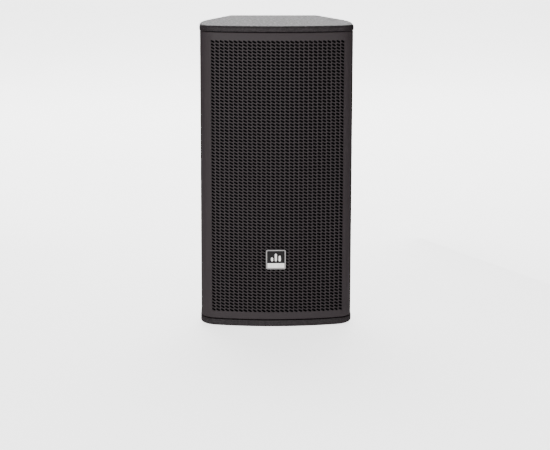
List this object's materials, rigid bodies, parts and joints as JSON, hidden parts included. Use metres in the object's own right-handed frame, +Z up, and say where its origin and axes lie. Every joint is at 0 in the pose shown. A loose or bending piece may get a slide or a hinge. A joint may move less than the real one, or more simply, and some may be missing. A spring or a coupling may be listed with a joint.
{
  "type": "pa speaker",
  "caption": "Compact upright powered loudspeaker with a bowed slotted steel grille, rounded end plates, tapered rear, recessed rear control panel and a pole socket underneath.",
  "frame": {"origin": "middle of the bounding box at the level the rubber feet stand on", "axes": "-Y out of the grille, +X to the right of someone looking at the grille, +Z up"},
  "size_m": [0.2384, 0.2142, 0.4749],
  "materials": {
    "painted_wood": "fine textured coating",
    "inner_wood": "bare birch plywood",
    "baffle_black": "matt black",
    "grille_steel": "fine textured powder coat",
    "grille_foam": "open-cell foam",
    "wadding": "polyester fibre",
    "zinc_steel": "zinc plated",
    "black_screw": "black oxide",
    "brass": "turned",
    "black_alloy": "black anodised",
    "cast_alloy": "satin coated casting",
    "rubber": "matt",
    "port_plastic": "moulded",
    "horn_plastic": "fine spark texture",
    "cone_paper": "pressed paper",
    "spider_cloth": "resin-treated cotton",
    "coil_copper": "enamelled wire",
    "ferrite": "ground ceramic magnet",
    "diaphragm_metal": "thin sheet",
    "panel_black": "satin powder coat",
    "board_green": "solder resist",
    "control_plastic": "moulded",
    "switch_red": "moulded",
    "connector_metal": "die cast, satin",
    "light_green": "tinted lens",
    "badge_metal": "satin chrome",
    "badge_black": "printed panel",
    "wire": "insulated lead"
  },
  "bodies": {
    "cabinet": {"top_plate": "painted_wood", "bottom_plate": "painted_wood", "side_wall_left": "painted_wood", "side_wall_right": "painted_wood", "back_board": "painted_wood", "front_baffle": "baffle_black", "shelf_brace": "inner_wood", "damping_pads": "wadding", "bracket_inserts": "zinc_steel", "pole_socket": "black_alloy", "pole_socket_screws": "black_screw", "rubber_feet": "rubber", "foot_screws": "black_screw", "port_tube_left": "port_plastic", "port_tube_right": "port_plastic", "front_grille": "grille_steel", "grille_foam": "grille_foam", "grille_screws": "black_screw", "badge_frame": "badge_metal", "badge_inlay": "badge_black", "woofer_frame": "cast_alloy", "woofer_surround": "rubber", "woofer_spider": "spider_cloth", "woofer_top_plate": "zinc_steel", "woofer_magnet": "ferrite", "woofer_yoke": "zinc_steel", "woofer_screws": "black_screw", "horn": "horn_plastic", "horn_screws": "black_screw", "driver_front_plate": "zinc_steel", "driver_magnet": "ferrite", "driver_back_plate": "zinc_steel", "driver_phase_plug": "control_plastic", "driver_back_cap": "control_plastic", "driver_screws": "zinc_steel", "amp_tray": "panel_black", "amp_tray_screws": "black_screw", "heat_sink": "black_alloy", "amp_board": "board_green", "power_board": "board_green", "board_standoffs": "brass", "potentiometers": "connector_metal", "status_light": "light_green", "switch_frame": "control_plastic", "mains_inlet": "control_plastic", "inlet_pins": "zinc_steel", "input_socket": "connector_metal", "output_socket": "connector_metal", "output_pins": "brass", "speaker_leads": "wire"},
    "woofer_moving_parts": {"woofer_cone": "cone_paper", "woofer_dust_cap": "cone_paper", "woofer_voice_coil": "coil_copper"},
    "driver_moving_parts": {"driver_diaphragm": "diaphragm_metal"},
    "level_knob": {"knob_level": "control_plastic"},
    "bass_knob": {"knob_bass": "control_plastic"},
    "treble_knob": {"knob_treble": "control_plastic"},
    "power_rocker": {"switch_rocker": "switch_red"},
    "mains_fuse_drawer": {"fuse_drawer": "control_plastic"},
    "input_latch_button": {"input_latch": "connector_metal"}
  },
  "joints": [
    {"name": "woofer_travel", "type": "slide", "parent": "cabinet", "child": "woofer_moving_parts", "axis": [0, -1, 0], "range_m": [-0.004, 0.004], "stiffness_N_per_m": 3000, "deforming": ["woofer_surround", "woofer_spider"]},
    {"name": "driver_travel", "type": "slide", "parent": "cabinet", "child": "driver_moving_parts", "axis": [0, -1, 0], "range_m": [-0.0004, 0.0004], "stiffness_N_per_m": 6000},
    {"name": "level_turn", "type": "hinge", "parent": "cabinet", "child": "level_knob", "pos_m": [0.032, 0.0908, 0.3], "axis": [0, 1, 0], "range_deg": [-145, 145]},
    {"name": "bass_turn", "type": "hinge", "parent": "cabinet", "child": "bass_knob", "pos_m": [0, 0.0908, 0.3], "axis": [0, 1, 0], "range_deg": [-145, 145]},
    {"name": "treble_turn", "type": "hinge", "parent": "cabinet", "child": "treble_knob", "pos_m": [-0.032, 0.0908, 0.3], "axis": [0, 1, 0], "range_deg": [-145, 145]},
    {"name": "power_tilt", "type": "hinge", "parent": "cabinet", "child": "power_rocker", "pos_m": [-0.027, 0.0888, 0.24], "axis": [1, 0, 0], "range_deg": [-18, 0]},
    {"name": "fuse_drawer_pull", "type": "slide", "parent": "cabinet", "child": "mains_fuse_drawer", "axis": [0, 1, 0], "range_m": [0, 0.012]},
    {"name": "latch_press", "type": "slide", "parent": "cabinet", "child": "input_latch_button", "axis": [0, -1, 0], "range_m": [0, 0.0015], "stiffness_N_per_m": 900}
  ]
}
